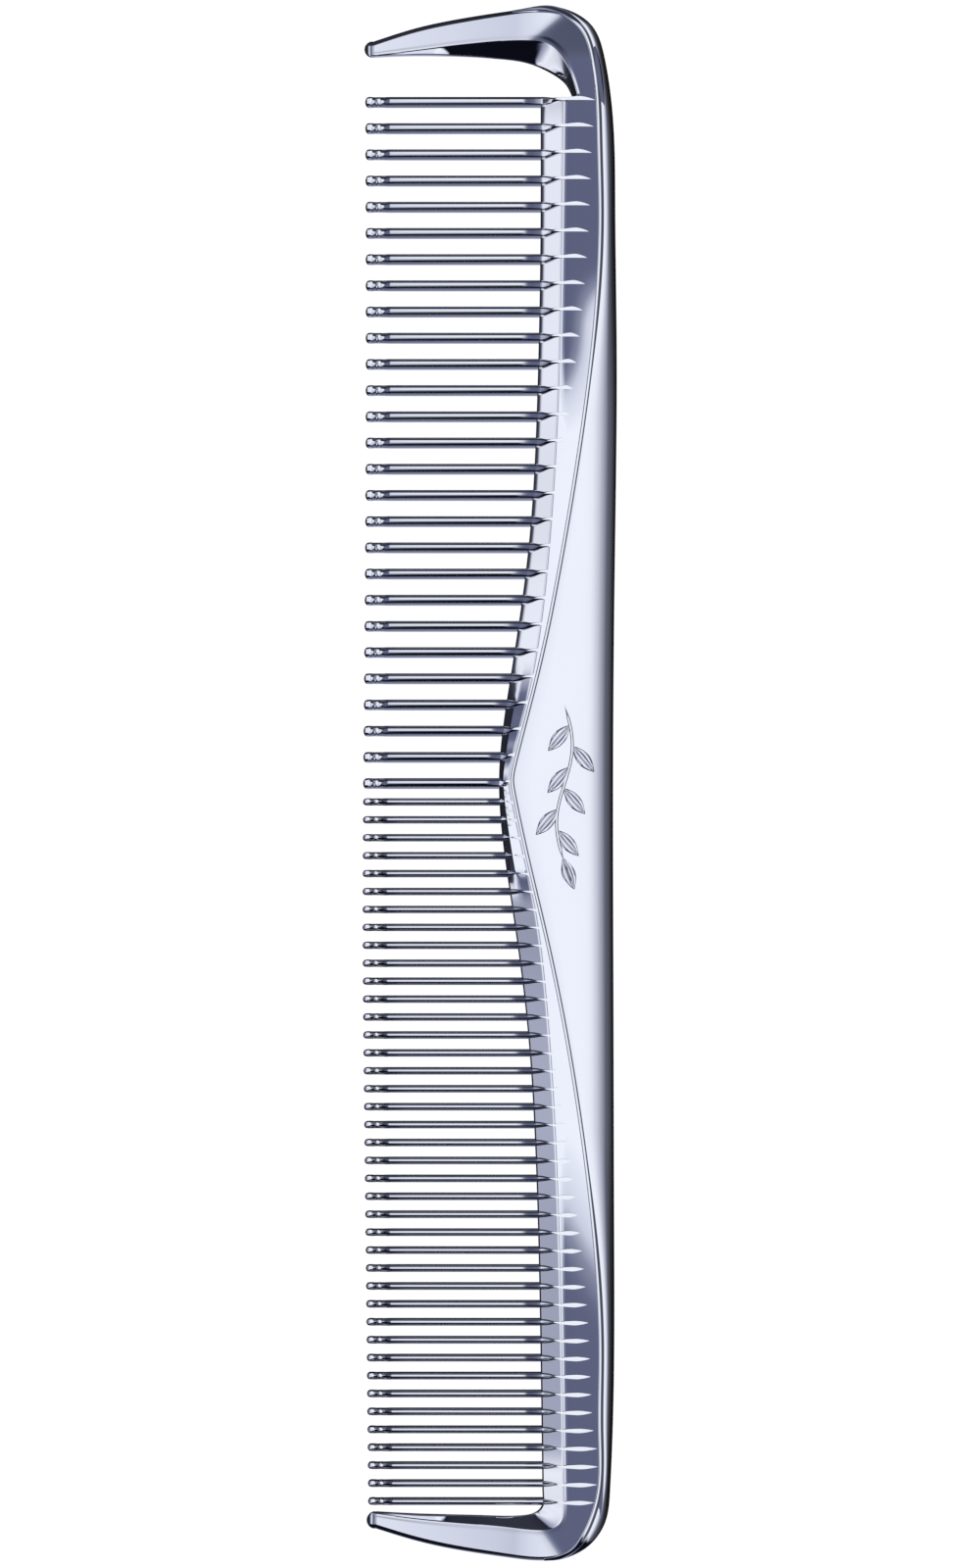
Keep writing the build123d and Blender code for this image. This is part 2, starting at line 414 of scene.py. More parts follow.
# %% Ribs and rails, in mm
COARSE_RIBS = [  # nose first: inner edge, crest, foot of the rim, outer edge
    ((-83.22, -13.3), (-83.42, -13.3), (-84.70, -13.3), (-85.05, -13.3)),
    ((-83.40, -8.0), (-84.05, -8.0), (-86.20, -8.1), (-86.67, -8.1)),
    ((-83.33, -4.0), (-84.55, -4.1), (-87.00, -4.4), (-87.45, -4.5)),
    ((-83.20, -1.2), (-84.87, -1.0), (-87.58, -1.2), (-88.02, -1.2)),
    ((-83.02, 1.0), (-85.10, 2.2), (-88.12, 2.6), (-88.58, 2.6)),
    ((-82.72, 3.5), (-85.05, 5.3), (-88.45, 5.9), (-88.93, 5.9)),
    ((-82.00, 5.8), (-84.25, 7.3), (-87.45, 8.9), (-88.52, 9.1)),
    ((-81.10, 7.5), (-82.60, 8.6), (-85.75, 10.6), (-86.90, 11.6)),
    ((-80.00, 8.75), (-80.60, 9.55), (-82.60, 11.55), (-83.30, 13.1)),
    ((-78.60, 9.45), (-78.75, 10.1), (-79.20, 12.0), (-79.30, 13.78)),
]
FINE_RIBS = [  # from the web to the nose
    ((81.10, 6.0), (81.10, 8.5), (81.10, 12.15), (81.10, 13.75)),
    ((82.40, 6.0), (83.10, 8.5), (84.30, 11.2), (84.90, 13.05)),
    ((83.10, 5.6), (84.50, 8.1), (86.30, 10.1), (87.30, 11.2)),
    ((83.60, 4.7), (85.25, 6.9), (87.70, 8.5), (88.52, 8.9)),
    ((83.80, 3.0), (85.35, 5.0), (88.40, 6.2), (88.93, 6.2)),
    ((83.80, 0.5), (85.00, 1.6), (88.12, 2.0), (88.58, 2.0)),
    ((83.70, -3.0), (84.65, -2.8), (87.30, -3.2), (87.77, -3.4)),
    ((83.58, -8.0), (84.20, -8.0), (86.25, -8.2), (86.72, -8.3)),
    ((83.32, -13.0), (83.55, -13.0), (84.90, -13.0), (85.30, -13.0)),
]
TOE = [  # the thin edge of the web, between the teeth
    (-78.05, 5.8), (-60.0, 5.75), (-44.0, 5.4), (-28.0, 4.5), (-12.0, 2.3), (-0.5, 1.03),
    (6.0, 1.4), (14.0, 2.5), (26.0, 4.1), (42.0, 5.2), (60.0, 5.7), (81.1, 6.0),
]
CREST = [  # the top of its bevel
    (-78.05, 8.4), (-60.0, 8.2), (-44.0, 7.85), (-28.0, 6.9), (-12.0, 4.9), (-0.5, 3.2),
    (6.0, 3.8), (14.0, 5.2), (26.0, 6.6), (42.0, 7.6), (60.0, 8.15), (81.1, 8.5),
]
RIM_COARSE = [
    (-73.0, 12.25), (-65.0, 12.4), (-54.0, 11.9), (-40.0, 10.25), (-24.0, 7.6), (-10.0, 4.7),
    (-0.5, 2.3),
]
RIM_FINE = [
    (-0.5, 2.3), (10.0, 4.55), (24.0, 7.6), (40.0, 10.3), (54.0, 11.9), (65.0, 12.42),
    (74.0, 12.35),
]
OUTER = [
    (-66.0, 14.35), (-50.0, 14.52), (-25.0, 14.3), (0.0, 14.1), (25.0, 14.15), (50.0, 14.22),
    (66.0, 14.22),
]
TIPS = [
    (-80.0, -14.3), (-30.0, -14.3), (-5.0, -14.5), (18.0, -14.6), (45.0, -14.35), (84.0, -13.95),
]
TEETH = {"coarse": (27, -78.05, 3.0), "fine": (40, 2.05, 2.053)}  # how many, first one, pitch
ROWS_MEET = 0.7
WEB_START, WEB_END = TOE[0][0], TOE[-1][0]


def along_ribs(ribs, start, sign):
    """A running distance for each rib of a guard, going away from the web."""
    runs, middle = [start], None
    for _, _, foot, edge in ribs:
        here = (Vector(foot) + Vector(edge)) / 2
        if middle:
            runs.append(runs[-1] + sign * (here - middle).length)
        middle = here
    return runs


fine_runs = along_ribs(FINE_RIBS, WEB_END, 1)
coarse_runs = along_ribs(COARSE_RIBS[::-1], COARSE_RIBS[-1][2][0], -1)[::-1]
NOSE_COARSE, NOSE_FINE = coarse_runs[0], fine_runs[-1]
print("runs of the guards:", round(NOSE_COARSE, 2), round(NOSE_FINE, 2))


# %% Rails through the ribs
def guard_rail(ribs, runs, which):
    return spline(runs, [rib[which] for rib in ribs])


def whole_rail(web, which, coarse, fine):
    """One rail over web and guards, so that nothing shows where they meet."""
    knots, points = [], []
    if coarse:
        knots += coarse_runs
        points += [rib[which] for rib in COARSE_RIBS]
    knots += [p[0] for p in web]
    points += list(web)
    if fine:
        knots += fine_runs
        points += [rib[which] for rib in FINE_RIBS]
    return spline(knots, points)


INNER_EDGE, CREST_OF_RIB, FOOT_OF_RIM, OUTER_EDGE = range(4)
rim_coarse = whole_rail(RIM_COARSE, FOOT_OF_RIM, True, False)
rim_fine = whole_rail(RIM_FINE, FOOT_OF_RIM, False, True)
outer_rail = whole_rail(OUTER, OUTER_EDGE, True, True)
toe_line, crest_line, tip_line = spline_of(TOE), spline_of(CREST), spline_of(TIPS)
inner_coarse = guard_rail(COARSE_RIBS, coarse_runs, INNER_EDGE)
crest_coarse = guard_rail(COARSE_RIBS, coarse_runs, CREST_OF_RIB)
inner_fine = guard_rail(FINE_RIBS, fine_runs, INNER_EDGE)
crest_fine = guard_rail(FINE_RIBS, fine_runs, CREST_OF_RIB)

APEX = -0.5  # where the rim comes nearest to the teeth
APEX_ROUND = 0.8
ROUND_TO, STRAIGHT_FROM = 4, 20  # how far from the apex the rounding is felt
TURN_IN_COARSE, TURN_IN_FINE = WEB_START + 6, WEB_END - 8  # beyond these the rim leaves its rib


def rim_at(u):
    """The foot of the raised rim, rounded at its apex."""
    far = abs(u - APEX)
    off = sqrt((u - APEX) ** 2 + APEX_ROUND**2) - APEX_ROUND
    if far > STRAIGHT_FROM:
        off = far
    elif far > ROUND_TO:
        off += (far - off) * smooth(far, ROUND_TO, STRAIGHT_FROM)
    if u < APEX:
        return np.array([u if u > TURN_IN_COARSE else rim_coarse(u)[0], rim_coarse(APEX - off)[1]])
    return np.array([u if u < TURN_IN_FINE else rim_fine(u)[0], rim_fine(APEX + off)[1]])


print("rim at the apex:", [round(float(v), 3) for v in rim_at(APEX)])

# %% [markdown]
# ## How the faces lean
# On a mirror a slope of a few degrees decides between white and slate. The face of the web leans
# towards the teeth near the two ends and lies flat along the middle. The guards lean less, and
# least of all at their noses.

# %% Height of the recessed face, in mm above the middle plane
FACE = 1.25
BASE_Y = 8.4  # the line across the comb on which the face has that height
LEAN, LEAN_EASE = 0.088, 2.5
DISH = 0.0100  # how fast the face curves down behind that line, on the way to the ends

# Each pair below holds the coarse half and the fine half.
CREST_LEANS = ((38, 52), (36, 62))  # from the middle: the lean begins, and is whole
RIM_LEANS = ((51.5, 62), (43, 68))
ARM_SHARE = (1.0, 1.12)
LEAN_STARTS = ((5.0, 1.1, 85.2), (6.0, 0.6, 85.4))  # at this y, and this much more per mm past x

WEB_LEAN_Y = 2.0  # over the web the lean begins here, in front of the thin edge
CORNER_FROM = (76, 84)  # from the middle: the corner's own start takes over
HOLD, HOLD_FROM = 5.4, (74, 84)  # keeps the guards whole where their lean begins later
GUARD_FROM = (70, 80)
ARM_SLOPE, ARM_CURVE = 0.027, 0.0017  # at the corner, and how fast it eases off to the nose
ARM_BENDS_AT, ARM_EASE = 3.0, 5.0


def arm_rise(y):
    """The gentle lean of a guard, least at its nose and gone where the web's own lean begins."""
    steepest = ARM_SLOPE + ARM_BENDS_AT * ARM_CURVE
    whole = ARM_EASE / 2
    if y < ARM_BENDS_AT:
        curved = ARM_CURVE * (y * y - ARM_BENDS_AT**2) / 2
        return ARM_SLOPE * (y - ARM_BENDS_AT) + curved - whole * steepest
    past = min(y - ARM_BENDS_AT, ARM_EASE)
    return steepest * (past - past**2 / (2 * ARM_EASE) - whole)


def face_height(x, y):
    """The height of the dished face at a place of the plan."""
    far, half = abs(x), int(x >= 0)
    near_crest, near_rim = smooth(far, *CREST_LEANS[half]), smooth(far, *RIM_LEANS[half])
    arm = smooth(far, *GUARD_FROM) * ARM_SHARE[half]
    at, more, past = LEAN_STARTS[half]
    start = WEB_LEAN_Y + (at + more * (far - past) - WEB_LEAN_Y) * smooth(far, *CORNER_FROM)
    hold = WEB_LEAN_Y + HOLD * smooth(far, *HOLD_FROM)
    leaned = ramp_up(y, start - 1.0, LEAN_EASE) - ramp_up(BASE_Y, hold - 1.0, LEAN_EASE)
    height = FACE + arm * arm_rise(y) + LEAN * near_crest * leaned
    return height - max(y - BASE_Y, 0) ** 2 * DISH * (near_crest - near_rim)


for spot in ((-84, -12), (-86, 2), (-87, 10), (-70, 12), (0, 5), (70, 12)):
    print("face at", spot, round(face_height(*spot), 3))

# %% [markdown]
# ## One way of making every piece
# A grid is added as the primitive, its rows are laid on the sections of the piece one by one, the
# doubled edges are merged, the ends are closed and the faces turned outwards. That is lofting by
# hand. Extruding section by section gives the same mesh, but far more slowly.


# %% Loft a piece
def middle_of(section):
    """A section shrunk to its own middle, which closes an end."""
    spot = tuple(sum(p[i] for p in section) / len(section) for i in range(3))
    return [spot] * len(section)


def lay_on_sections(name, sections, material, node, angle):
    """A closed piece through a list of closed sections, each a list of points in mm.

    Edges sharper than the angle, in degrees, stay sharp.
    """
    sections = [middle_of(sections[0]), *sections, middle_of(sections[-1])]
    columns, rows = len(sections), len(sections[0])
    clean_slate()
    bpy.ops.mesh.primitive_grid_add(
        x_subdivisions=rows - 1, y_subdivisions=columns - 1, size=1.0
    )
    piece = bpy.context.object
    piece.name = piece.data.name = name
    spots = [metres(*p) for section in sections for p in section]
    if len(piece.data.vertices) != len(spots):
        raise RuntimeError(f"{name}: {len(piece.data.vertices)} grid points for {len(spots)}")
    piece.data.vertices.foreach_set("co", np.array(spots, float).ravel())
    for layer in list(piece.data.uv_layers):
        piece.data.uv_layers.remove(layer)
    bpy.ops.object.mode_set(mode="EDIT")
    bpy.ops.mesh.select_all(action="SELECT")
    bpy.ops.mesh.remove_doubles(threshold=2e-7)
    bpy.ops.mesh.normals_make_consistent(inside=False)
    bpy.ops.object.mode_set(mode="OBJECT")
    bpy.ops.object.shade_smooth_by_angle(angle=radians(angle))
    piece.data.materials.append(material)
    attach(piece, "root")
    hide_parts(node)
    return piece


def spaced(low, high, step):
    """Even steps from low to high, as near to the given step as they come."""
    count = max(2, round((high - low) / step))
    return [low + (high - low) * i / count for i in range(count + 1)]


print("ready to loft")

# %% [markdown]
# ## The recessed frame
# Its section starts at the thin edge between the teeth, climbs the bevel, rounds over a fine bright
# crest, crosses the face and turns down over the outer edge. The lower half mirrors it.

# %% Section of the frame
EDGE_ROUND = [(0.0, 0.0), (0.0, 0.35), (0.25, 0.62), (0.6, 0.84), (1.0, 1.0)]  # way in, way up
EDGE_ROUND_IN = 0.17
EDGE_LOW = (0.39, 0.66)  # height of the thin edge in the coarse half and in the fine half
GUARD_EDGE_LOW = 0.3
GUARD_BEVEL, GUARD_BEVEL_GAIN, GUARD_BEVEL_GROWS = 0.03, 0.34, (-6.5, -4.0)
KNEE, KNEE_BEAT, KNEE_FADES, KNEE_AT = 0.36, 0.05, (9, 14), 0.4
BEVEL_STOPS = (0.2, 0.4, 0.6, 0.8, 0.92, 1.0)
CREST_GAP = 0.16  # what a crest leaves free before the rim, near the apex
CREST_BEAD, CREST_UNDER = 0.12, 0.035  # its width, and how far under it the bevel ends
CREST_FLAT = [(0.0, 0.004), (0.10, 0.005), (0.20, 0.004)]  # mm past the crest, mm proud
FACE_BEGINS, FACE_SAG, FACE_STEPS = 0.22, 0.006, 12
OUTER_TURN = 0.58  # mm over which the face turns down to the outer edge
OUTER_CREASE = 52.0  # degrees: that turn begins with a crease
OUTER_STEPS = 7
RIM_INSET = 0.30  # the frame stays this far inside the panel's edge


def rails_at(u):
    """Inner edge, crest, foot of the rim and outer edge at a run."""
    edge, foot = outer_rail(u), rim_at(u)
    if u < WEB_START:
        return inner_coarse(u), crest_coarse(u), foot, edge
    if u > WEB_END:
        return inner_fine(u), crest_fine(u), foot, edge
    crest = crest_line(u)
    gap = foot[1] - CREST_GAP - crest
    crest -= (sqrt(gap * gap + 0.02) - gap) / 2  # eases off before the two lines touch
    return np.array([u, toe_line(u)]), np.array([u, crest]), foot, edge


def panel_share(u):
    """How far the raised rim has grown, from nothing on the guards to whole on the web."""
    in_coarse = smooth(u, coarse_runs[4], coarse_runs[6] + 1)
    return in_coarse * smooth(-u, -fine_runs[4], -fine_runs[2] + 1)


def guard_share(u):
    """How far the thin edge belongs to a guard, from nothing on the web to whole near a nose."""
    on_web = smooth(u, coarse_runs[6], coarse_runs[8])
    return 1 - on_web * smooth(-u, -fine_runs[3], -fine_runs[1])


def knee(u):
    """How far the bevel stands proud near the apex, with one beat for each tooth."""
    _, first, pitch = TEETH["coarse" if u < ROWS_MEET else "fine"]
    beat = cos(2 * pi * (u - first) / pitch)
    return (KNEE + KNEE_BEAT * beat) * (1 - smooth(abs(u), *KNEE_FADES))


def edge_low(u, y, width, top):
    """Height of the thin edge. On a guard it follows the slope of that guard's bevel."""
    on_web = EDGE_LOW[u > 0]
    steep = GUARD_BEVEL + GUARD_BEVEL_GAIN * smooth(y, *GUARD_BEVEL_GROWS)
    on_guard = min(max(top - steep * (width - 0.1), GUARD_EDGE_LOW), top - 0.06)
    return on_web + (on_guard - on_web) * guard_share(u)


def half_frame(u):
    """The upper half of the section, as points in mm."""
    inner, crest, foot, edge = rails_at(u)
    width = np.linalg.norm(crest - inner)
    climb = (crest - inner) / width
    top = face_height(*crest)
    low = edge_low(u, crest[1], width, top)

    round_in = min(EDGE_ROUND_IN, width * 0.3)
    rows = [(inner + climb * round_in * way, low * up) for way, up in EDGE_ROUND]
    bead = min(CREST_BEAD, width * 0.25)
    for share in BEVEL_STOPS:
        proud = knee(u) * min(share / KNEE_AT, (1 - share) / (1 - KNEE_AT))
        reach = round_in + (width - bead - round_in) * share
        rows.append((inner + climb * reach, low + (top - CREST_UNDER - low) * share + proud))

    span = np.linalg.norm(edge - crest)
    outwards = (edge - crest) / span
    rows.append((crest - climb * bead * 0.45, top))
    rows += [(crest + outwards * past, top + proud) for past, proud in CREST_FLAT]
    reach_end = span - RIM_INSET * panel_share(u) - OUTER_TURN
    for share in np.linspace(0.0, 1.0, FACE_STEPS + 1)[1:]:
        spot = crest + outwards * (FACE_BEGINS + (reach_end - FACE_BEGINS) * share)
        rows.append((spot, face_height(*spot) - FACE_SAG * (1 - share)))

    brink = face_height(*(crest + outwards * reach_end))
    crease = radians(OUTER_CREASE)
    for i in range(1, OUTER_STEPS + 1):
        turn = radians(OUTER_CREASE + (90 - OUTER_CREASE) * i / OUTER_STEPS)
        go = (sin(turn) - sin(crease)) / (1 - sin(crease))
        height = brink * (cos(turn) / cos(crease))
        rows.append((crest + outwards * (reach_end + OUTER_TURN * go), height))
    return [(float(p[0]), float(p[1]), float(z)) for p, z in rows]


def ring_from_half(half):
    """The whole closed section: the half above, its mirror below, and the first point again."""
    return half + [(x, y, -z) for x, y, z in half[-2:0:-1]] + [half[0]]


# %% Noses of the guards
NOSE_LIP = (-0.12, -0.06)  # a fine step before the round nose: its two rings, in radii
NOSE_LIP_SHARE = 0.93
NOSE_TURNS = (0.0, 0.15, 0.3, 0.45, 0.6, 0.75, 0.87, 0.95, 1.0)
NOSE_GAP = 0.18
COARSE_NOSE = ((-84.12, -13.3), 0.9)  # middle and radius
FINE_NOSE = ((84.3, -13.0), 0.95)


def nose_rings(section, centre, radius):
    """Rings that close a guard's end in a round nose, beyond its last section."""
    rings = []
    for turn in (*NOSE_LIP, *NOSE_TURNS):
        angle = max(turn, 0.0) * pi / 2
        share = cos(angle) * (NOSE_LIP_SHARE if turn == NOSE_LIP[0] else 1.0)
        out = radius * (sin(angle) + turn * (turn < 0)) + NOSE_GAP
        ring = []
        for x, y, z in section:
            beside = centre[0] + (x - centre[0]) * share
            ring.append((beside, centre[1] + (y - centre[1]) * share - out, z * share))
        rings.append(ring)
    return rings


print("rings in a nose:", len(NOSE_LIP) + len(NOSE_TURNS))

# %% The two guards and the web
FRAME_ANGLE = 26
WEB_STEP, APEX_STEP, GUARD_STEP = 0.8, 0.25, 0.5

coarse_us = spaced(NOSE_COARSE, coarse_runs[-1], GUARD_STEP)
fine_us = spaced(WEB_END, NOSE_FINE, GUARD_STEP)[1:]
web_us = spaced(WEB_START, -6, WEB_STEP) + spaced(-6, 5, APEX_STEP)[1:]
web_us += spaced(5, WEB_END, WEB_STEP)[1:]
coarse_sections, fine_sections, web_sections = (
    [ring_from_half(half_frame(u)) for u in us] for us in (coarse_us, fine_us, web_us)
)
coarse_nose = nose_rings(coarse_sections[0], *COARSE_NOSE)[::-1]
fine_nose = nose_rings(fine_sections[-1], *FINE_NOSE)

for name, sections, node in (
    ("web", web_sections, "spine_web"),
    ("coarse_guard", coarse_nose + coarse_sections + web_sections[:1], "coarse_end_guard"),
    ("fine_guard", web_sections[-1:] + fine_sections + fine_nose, "fine_end_guard"),
):
    piece = lay_on_sections(name, sections, CHROME, node, FRAME_ANGLE)
    print(piece.name, len(piece.data.polygons), "faces")

# %% [markdown]
# ## The raised panels
# Each face of the comb carries a raised panel. A fine bead runs along its inner edge and the top
# steps down behind it. The top lies flat from there, and the back rolls over in one long curve to
# the parting line at mid height.

# %% Section of a panel
PANEL_ANGLE = 35
BEAD = 0.34
STEP, STEP_GAIN = 0.12, 0.16  # width of the step down, and the gain where the panel is slim
DROP, DROP_AT_ENDS = 0.10, 0.24  # depth of that step
SLIM_WIDTHS = (2.0, 3.6)
ROLL_WIDEST = 3.3
LEAST_FLAT = 0.18
ROLL = [  # the way over the roll, and the height left
    (0.0, 1.0), (0.15, 0.989), (0.30, 0.957), (0.44, 0.910), (0.58, 0.844), (0.71, 0.750),
    (0.80, 0.668), (0.86, 0.600), (0.915, 0.527), (0.950, 0.455), (0.976, 0.37), (0.991, 0.25),
    (0.998, 0.12), (1.0, 0.0),
]
HIDDEN_IN = 0.9  # the inside of the panel, out of sight in the frame, stays this far from its edge
roll_height = spline_of(ROLL[:9])


def half_panel(u):
    """The section of the upper panel, as points in mm. On the guards it sinks into the frame."""
    _, _, foot, edge = rails_at(u)
    width = np.linalg.norm(edge - foot)
    out = (edge - foot) / width
    share = panel_share(u)
    slim = 1 - smooth(width, *SLIM_WIDTHS)
    step = STEP + STEP_GAIN * slim
    level = PANEL_TOP - DROP - (DROP_AT_ENDS - DROP) * slim
    start = BEAD + step
    flat_end = max(width - ROLL_WIDEST, start + LEAST_FLAT)
    base = face_height(*foot)
    rise = PANEL_TOP - base

    # Up the inner side, over the bead and down the step; then the flat, the roll and the inside.
    shape = [
        (0.0, base - 0.12), (0.0, base - 0.03), (0.03, base + 0.4 * rise),
        (0.06, base + 0.75 * rise), (0.09, PANEL_TOP - 0.03), (0.11, PANEL_TOP),
        (0.2, PANEL_TOP + 0.001), (0.30, PANEL_TOP), (BEAD, PANEL_TOP - 0.02),
        (BEAD + step * 0.5, (PANEL_TOP + level) / 2 - 0.01),
        (start - 0.02, level + 0.01), (start + 0.02, level),
    ]
    shape += [(start + (flat_end - start) * i / 4, level) for i in range(1, 4)]
    shape += [(flat_end + (width - flat_end) * go, level * left) for go, left in ROLL]
    shape += [(width - HIDDEN_IN, 0.0), (width - HIDDEN_IN, min(base, FACE) - 0.25)]

    rows = []
    for go, z in shape:
        under = foot + out * max(min(go, width - 0.06), width - 0.55)
        spot = under + (foot + out * go - under) * share
        hidden = max(base - 0.2, 0.2) * min(1.0, z / PANEL_TOP)
        rows.append((float(spot[0]), float(spot[1]), float(hidden + (z - hidden) * share)))
    return rows + rows[:1]


# %% The two panels
BESIDE_APEX = (-4, 3)
panel_us = spaced(coarse_runs[4], coarse_runs[-1], 0.4)
panel_us += spaced(WEB_START - 0.6, BESIDE_APEX[0], 0.8)[1:] + spaced(*BESIDE_APEX, 0.2)[1:]
panel_us += spaced(BESIDE_APEX[1], WEB_END, 0.8)[1:] + spaced(WEB_END, fine_runs[4], 0.4)[1:]
upper_sections = [half_panel(u) for u in panel_us]
lower_sections = [[(x, y, -z) for x, y, z in section] for section in upper_sections]
for name, sections in (("front_panel", upper_sections), ("back_panel", lower_sections)):
    piece = lay_on_sections(name, sections, CHROME, name, PANEL_ANGLE)
    print(name, len(piece.data.polygons), "faces")

# %% [markdown]
# ## The teeth
# A tooth is a needle with a narrow flat along its top, a rounded side to each hand and a small
# ringed knob at its end. It climbs the bevel, narrows to a neck at the crest and ends on the face
# as a low spearhead. One profile serves every tooth of a row, and each tooth is fitted between its
# own four places: tip, toe, crest and end.

# %% Profiles of a tooth
TOOTH_ANGLE = 32
KNOB = [  # mm from the tip: share of the width and of the height, where the flat begins and ends
    (0.0, 0.0, 0.0, -0.3, 0.1), (0.03, 0.36, 0.50, -0.4, 0.1), (0.09, 0.60, 0.80, -0.5, 0.15),
    (0.17, 0.80, 0.96, -0.65, 0.25), (0.23, 0.88, 1.0, -0.72, 0.35),
    (0.36, 0.96, 1.0, -0.72, 0.35), (0.50, 1.0, 1.0, -0.70, 0.3), (0.76, 1.0, 1.0, -0.66, 0.1),
    (0.86, 0.98, 0.97, -0.26, -0.16), (1.20, 0.95, 0.94, -0.22, -0.18),
    (1.30, 0.95, 0.97, -0.4, -0.05), (1.38, 0.96, 0.98, -0.62, 0.25),
    (1.68, 0.97, 0.98, -0.58, 0.2), (1.78, 0.96, 0.95, -0.26, -0.16),
    (2.25, 0.97, 0.94, -0.22, -0.18), (2.5, 0.99, 0.99, -0.35, -0.1),
]
ROOT = [  # way from toe to crest: share of the width, where the flat top begins and ends
    (0.12, 1.0, -0.46, -0.02), (0.28, 0.94, -0.40, -0.12), (0.44, 0.80, -0.30, -0.22),
    (0.54, 0.66, -0.40, -0.20), (0.70, 0.50, -0.60, 0.0), (0.86, 0.42, -0.72, 0.4),
    (1.0, 0.40, -0.70, 0.8),
]
SPEAR = [  # way from crest to end: share of its width
    (0.12, 0.72), (0.26, 0.86), (0.42, 0.97), (0.54, 1.0), (0.68, 0.84), (0.82, 0.56),
    (0.93, 0.26), (1.0, 0.02),
]
SPEAR_FLAT = (-0.7, 0.94)
SPEAR_PROUD, SPEAR_LEAST = 0.03, 0.25
NECK, NECK_BENDS = 0.6, (0.3, 1.0)  # share of the way to the spear's own side, over the root
ROOT_LEVEL_AT = 0.5  # way up the root where its top meets the face
END_GAP, RIDGE_GAP, RIDGE_GAP_SPAN = 0.08, 1.4, 76.0  # what a spear leaves free before the rim
SHAFT_RISE, SHAFT_STEPS, SHAFT_GAP = 0.12, 8, 0.4
ROWS = {  # mm, and the rounded sides as (way out from the flat top, height left)
    "coarse": dict(
        width=1.25, tip=1.9, spear=0.27, spear_at=-0.10, flat=(-0.47, -0.1),
        near=[(1.0, 0.0), (0.97, 0.15), (0.86, 0.37), (0.75, 0.58), (0.64, 0.77), (0.55, 0.91),
              (0.47, 0.95), (0.29, 0.975), (0.1, 0.99)],
        far=[(0.16, 0.985), (0.4, 0.93), (0.64, 0.82), (0.84, 0.62), (0.96, 0.35), (1.0, 0.0)],
    ),
    "fine": dict(
        width=0.86, tip=1.7, spear=0.31, spear_at=0.22, flat=(-0.43, 0.14),
        near=[(0.96, 0.0), (0.99, 0.3), (1.0, 0.5), (0.69, 0.74), (0.375, 0.9), (0.12, 0.975)],
        far=[(0.15, 0.98), (0.4, 0.9), (0.65, 0.76), (0.85, 0.55), (0.97, 0.3), (1.0, 0.0)],
    ),
}
print("rings in a tooth:", len(KNOB) + SHAFT_STEPS + 1 + len(ROOT) + len(SPEAR))


# %% A tooth
def slice_of(size, x, y, half_width, half_height, begins, ends):
    """A closed ring: a flat top between two shares of the width, and a rounded side each way."""
    margin = 0.16 * (ends - begins)  # keeps the smoothing of the sides off the flat
    upper = [(ends + (1 - ends) * t, h) for t, h in size["near"]]
    upper += [(ends, 1.0), (ends - margin, 1.0), (begins + margin, 1.0), (begins, 1.0)]
    upper += [(begins - (1 + begins) * t, h) for t, h in size["far"]]
    whole = upper + [(w, -h) for w, h in upper[-2:0:-1]] + upper[:1]
    return [(x + w * half_width, y, h * half_height) for w, h in whole]


def tooth_rings(x, size):
    """The rings of one tooth, from its tip to the end of its spearhead."""
    width, tip_high = size["width"] / 2, size["tip"] / 2
    spear, spear_at = size["spear"], size["spear_at"]
    tip, toe, crest = tip_line(x), toe_line(x), rails_at(x)[1][1]
    ridge_gap = RIDGE_GAP * sqrt(max(0.0, sin(pi * min(abs(x) / RIDGE_GAP_SPAN, 1))))
    end = max(rim_at(x)[1] - END_GAP - ridge_gap, crest + SPEAR_LEAST)
    top = face_height(x, end) + SPEAR_PROUD

    rings = [slice_of(size, x, tip + go, width * w, tip_high * h, a, b) for go, w, h, a, b in KNOB]
    start = tip + KNOB[-1][0] + SHAFT_GAP
    for i in range(SHAFT_STEPS + 1):
        share = i / SHAFT_STEPS
        y, high = start + (toe - start) * share, tip_high + SHAFT_RISE * share
        rings.append(slice_of(size, x, y, width, high, *size["flat"]))
    shaft_high = tip_high + SHAFT_RISE
    for way, w, a, b in ROOT:
        aside = (spear_at - spear * NECK) * smooth(way, *NECK_BENDS)
        high = shaft_high + (top - shaft_high) * min(way / ROOT_LEVEL_AT, 1.0)
        rings.append(slice_of(size, x + aside, toe + (crest - toe) * way, width * w, high, a, b))
    for way, w in SPEAR:
        aside = spear_at - spear * w if x < ROWS_MEET else 0.0
        y = crest + (end - crest) * way
        rings.append(slice_of(size, x + aside, y, spear * w, top, *SPEAR_FLAT))
    return rings


# %% Both rows
for row, (count, first, pitch) in TEETH.items():
    for i in range(count):
        rings = tooth_rings(first + i * pitch, ROWS[row])
        name = f"{row}_tooth_{i + 1:02d}"
        lay_on_sections(name, rings, TOOTH_CHROME, f"{row}_teeth", TOOTH_ANGLE)
    print(row, "teeth:", count)

# %% [markdown]
# ## The ornament
# The middle of the front panel carries a small raised mark. This one is a plain sprig of leaves on
# a waved stem, each leaf a low pad with a vein.

